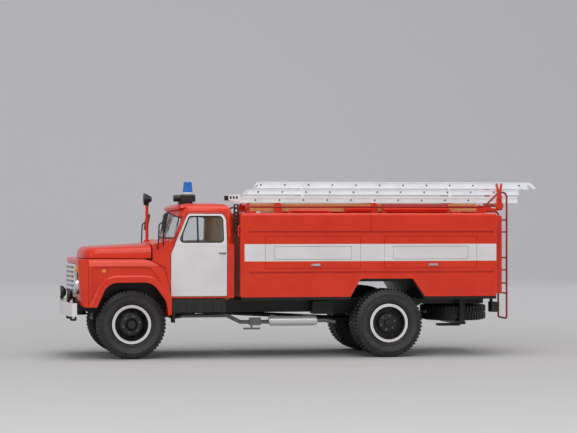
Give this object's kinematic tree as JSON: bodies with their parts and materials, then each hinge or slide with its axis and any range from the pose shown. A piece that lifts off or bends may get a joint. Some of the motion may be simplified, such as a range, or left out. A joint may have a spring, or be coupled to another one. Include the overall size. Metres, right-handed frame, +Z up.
{
  "type": "fire engine scale model",
  "caption": "Die-cast scale model of a bonneted fire engine with a locker body, stacked roof ladders, rear access ladder, beacon and rolling wheels, for display on a plinth.",
  "frame": {"origin": "on the ground, below the middle of the model's overall length and width", "axes": "+X forward towards the bumper, +Y to the model's left, +Z up"},
  "size_m": [0.1652, 0.0552, 0.0591],
  "materials": {
    "red_paint": "gloss enamel",
    "white_paint": "gloss enamel",
    "black_plastic": "satin moulding",
    "tyre": "matt rubber",
    "silver_paint": "satin silver",
    "chrome": "polished",
    "amber_lens": "clear tinted",
    "clear_glass": "clear",
    "blue_lens": "tinted lens",
    "tan_plastic": "satin moulding",
    "wood": "varnished"
  },
  "bodies": {
    "vehicle": {"beacon": "blue_lens", "body_end_walls": "red_paint", "body_floor": "black_plastic", "body_roof": "red_paint", "body_side_left": "red_paint", "body_side_right": "red_paint", "body_stripes": "white_paint", "bonnet": "red_paint", "cab_glass": "clear_glass", "cab_interior": "tan_plastic", "cab_shell": "red_paint", "chassis_frame": "black_plastic", "door_left": "white_paint", "door_right": "white_paint", "engine_block": "black_plastic", "exhaust": "silver_paint", "fog_lamps": "black_plastic", "fog_lenses": "amber_lens", "front_axle": "black_plastic", "front_bumper": "white_paint", "front_panel": "red_paint", "front_posts": "black_plastic", "grille": "white_paint", "headlamps": "chrome", "indicators": "amber_lens", "ladder_fork": "red_paint", "ladder_lower": "silver_paint", "ladder_middle": "silver_paint", "ladder_spacers": "silver_paint", "ladder_upper": "silver_paint", "leaf_springs": "black_plastic", "locker_handles": "chrome", "mirrors": "black_plastic", "pole_ladder": "wood", "pump_door": "red_paint", "rear_axle": "black_plastic", "roof_cradles": "red_paint", "roof_rails": "red_paint", "running_boards": "black_plastic", "searchlight": "black_plastic", "searchlight_post": "red_paint", "siren_box": "black_plastic", "spare_carrier": "black_plastic", "spare_wheel": "tyre", "steering_wheel": "black_plastic", "tail_lamps": "black_plastic", "wing_left": "red_paint", "wing_right": "red_paint"},
    "front_wheel_left": {"front_tyre_left": "tyre", "front_rim_left": "black_plastic", "front_ring_left": "white_paint"},
    "front_wheel_right": {"front_tyre_right": "tyre", "front_rim_right": "black_plastic", "front_ring_right": "white_paint"},
    "rear_wheels_left": {"rear_tyres_left": "tyre", "rear_rim_left": "black_plastic", "rear_ring_left": "white_paint"},
    "rear_wheels_right": {"rear_tyres_right": "tyre", "rear_rim_right": "black_plastic", "rear_ring_right": "white_paint"}
  },
  "joints": [
    {"name": "front_wheel_left_roll", "type": "hinge", "parent": "vehicle", "child": "front_wheel_left", "pos_m": [0.06075, 0.01895, 0.0115], "axis": [0, 1, 0], "continuous": true},
    {"name": "front_wheel_right_roll", "type": "hinge", "parent": "vehicle", "child": "front_wheel_right", "pos_m": [0.06075, -0.01895, 0.0115], "axis": [0, 1, 0], "continuous": true},
    {"name": "rear_wheels_left_roll", "type": "hinge", "parent": "vehicle", "child": "rear_wheels_left", "pos_m": [-0.0253, 0.01965, 0.0115], "axis": [0, 1, 0], "continuous": true},
    {"name": "rear_wheels_right_roll", "type": "hinge", "parent": "vehicle", "child": "rear_wheels_right", "pos_m": [-0.0253, -0.01965, 0.0115], "axis": [0, 1, 0], "continuous": true}
  ]
}
